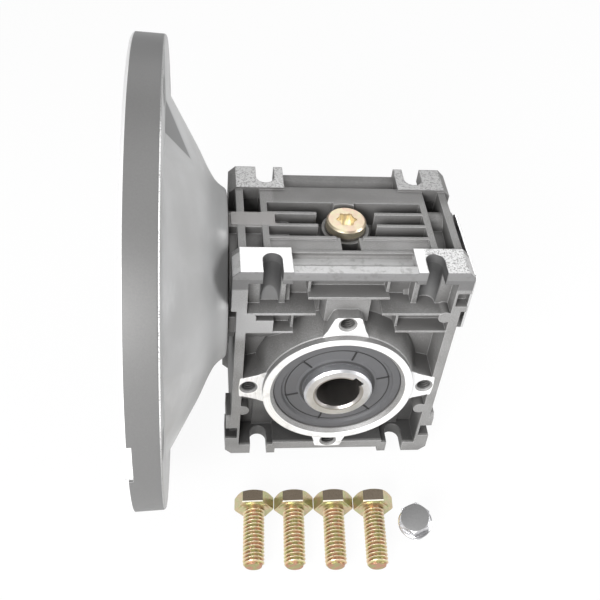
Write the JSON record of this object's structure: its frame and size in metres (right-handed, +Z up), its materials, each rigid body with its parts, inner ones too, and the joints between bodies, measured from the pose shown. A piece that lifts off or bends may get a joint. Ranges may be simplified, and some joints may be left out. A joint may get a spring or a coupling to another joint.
{
  "type": "worm gear reducer",
  "caption": "Right angle worm gear reducer: ribbed cast housing with a hollow keyed output shaft and a bell shaped motor flange, with its loose bolts and breather plug.",
  "frame": {"origin": "middle of the hollow output shaft's bore", "axes": "-Y along the output bore towards the front, +X along the worm away from the motor flange, +Z up to the top pads; the worm axis is 30 mm above the origin"},
  "size_m": [0.1139, 0.165, 0.165],
  "materials": {
    "cast_aluminium": "shot blasted cast surface with machined pads",
    "flange_paint": "smooth grey coat with a machined motor face",
    "black_steel": "black oxide",
    "spring_steel": "dark phosphated",
    "rubber": "matt nitrile rubber",
    "gasket": "pressed fibre",
    "cage_brass": "pressed",
    "bronze": "cut teeth",
    "hub_iron": "turned",
    "ground_steel": "ground",
    "bearing_steel": "polished",
    "yellow_zinc": "iridescent yellow zinc",
    "white_zinc": "bright zinc",
    "plate_aluminium": "bare bright sheet",
    "rivet_aluminium": "plain"
  },
  "bodies": {
    "gearbox": {"housing": "cast_aluminium", "side_cover": "cast_aluminium", "side_cover_screws": "black_steel", "side_cover_oring": "rubber", "front_bearing_outer_ring": "bearing_steel", "rear_bearing_outer_ring": "bearing_steel", "front_output_seal": "rubber", "rear_output_seal": "rubber", "output_seal_springs": "spring_steel", "input_bearing_outer_ring": "bearing_steel", "end_bearing_outer_ring": "bearing_steel", "input_seal": "rubber", "input_bearing_circlip": "spring_steel", "end_bearing_circlip": "spring_steel", "end_cap": "rubber", "motor_flange": "flange_paint", "motor_flange_screws": "black_steel", "motor_flange_gasket": "gasket", "oil_plug": "yellow_zinc", "oil_plug_washer": "gasket", "nameplate": "plate_aluminium", "nameplate_rivets": "rivet_aluminium", "motor_bolts": "yellow_zinc", "breather_plug": "white_zinc"},
    "output_shaft": {"output_hub": "hub_iron", "worm_wheel_rim": "bronze", "front_bearing_inner_ring": "bearing_steel", "rear_bearing_inner_ring": "bearing_steel"},
    "worm": {"worm_shaft": "ground_steel", "input_bearing_inner_ring": "bearing_steel", "end_bearing_inner_ring": "bearing_steel", "worm_shaft_circlip": "spring_steel"},
    "front_cage": {"front_bearing_balls": "bearing_steel", "front_bearing_cage": "cage_brass"},
    "rear_cage": {"rear_bearing_balls": "bearing_steel", "rear_bearing_cage": "cage_brass"},
    "input_cage": {"input_bearing_balls": "bearing_steel", "input_bearing_cage": "cage_brass"},
    "end_cage": {"end_bearing_balls": "bearing_steel", "end_bearing_cage": "cage_brass"}
  },
  "joints": [
    {"name": "output_spin", "type": "hinge", "parent": "gearbox", "child": "output_shaft", "pos_m": [0, 0, 0], "axis": [0, 1, 0], "continuous": true},
    {"name": "worm_spin", "type": "hinge", "parent": "gearbox", "child": "worm", "pos_m": [0, 0, 0.03], "axis": [1, 0, 0], "continuous": true},
    {"name": "front_cage_spin", "type": "hinge", "parent": "gearbox", "child": "front_cage", "pos_m": [0, 0, 0], "axis": [0, 1, 0], "continuous": true},
    {"name": "rear_cage_spin", "type": "hinge", "parent": "gearbox", "child": "rear_cage", "pos_m": [0, 0, 0], "axis": [0, 1, 0], "continuous": true},
    {"name": "input_cage_spin", "type": "hinge", "parent": "gearbox", "child": "input_cage", "pos_m": [0, 0, 0.03], "axis": [1, 0, 0], "continuous": true},
    {"name": "end_cage_spin", "type": "hinge", "parent": "gearbox", "child": "end_cage", "pos_m": [0, 0, 0.03], "axis": [1, 0, 0], "continuous": true}
  ],
  "couplings": [
    {"joint": "worm_spin", "follows": "output_spin", "ratio": -30},
    {"joint": "front_cage_spin", "follows": "output_spin", "ratio": 0.41181},
    {"joint": "rear_cage_spin", "follows": "output_spin", "ratio": 0.41181},
    {"joint": "input_cage_spin", "follows": "output_spin", "ratio": -13.306},
    {"joint": "end_cage_spin", "follows": "output_spin", "ratio": -10.977}
  ]
}
